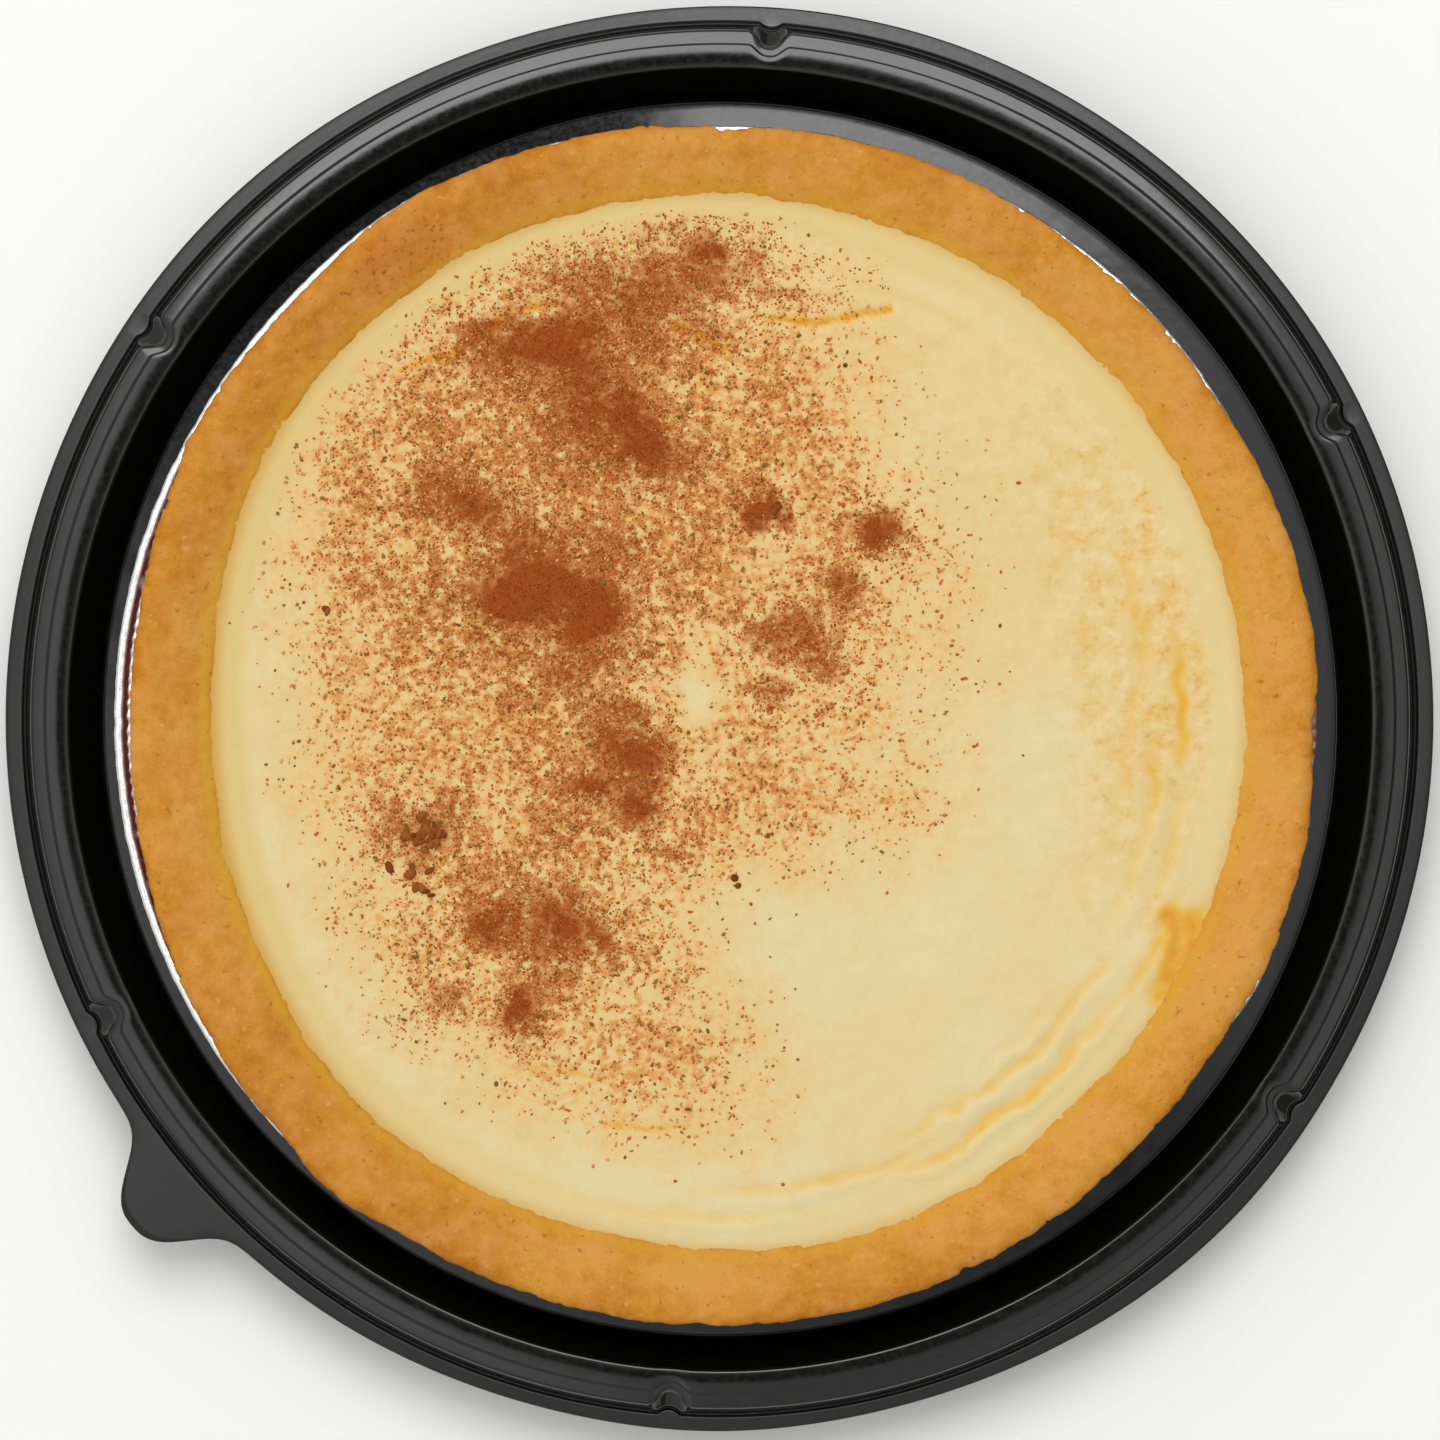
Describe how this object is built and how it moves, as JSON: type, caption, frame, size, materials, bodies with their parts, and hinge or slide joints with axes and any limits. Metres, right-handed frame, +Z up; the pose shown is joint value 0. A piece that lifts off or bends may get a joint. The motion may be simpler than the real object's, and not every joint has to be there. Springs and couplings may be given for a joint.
{
  "type": "milk tart",
  "caption": "Round milk tart dusted with cinnamon, in its foil pan and black pack base with a pull tab.",
  "frame": {"origin": "middle of the pack base's underside, on the surface that it stands on", "axes": "+Z up; +X and +Y as in a view straight down on the tart, with the pull tab towards -X -Y"},
  "size_m": [0.25, 0.25, 0.0283],
  "materials": {
    "black_plastic": "glossy thermoformed sheet",
    "foil": "bright crimped foil",
    "pastry": "baked shortcrust pastry, dry and finely grained",
    "custard": "set milk custard with a satin skin",
    "cinnamon": "dry ground cinnamon"
  },
  "bodies": {
    "root": {"pack_base": "black_plastic", "foil_pan": "foil", "pastry_case": "pastry", "custard_filling": "custard"}
  },
  "joints": []
}
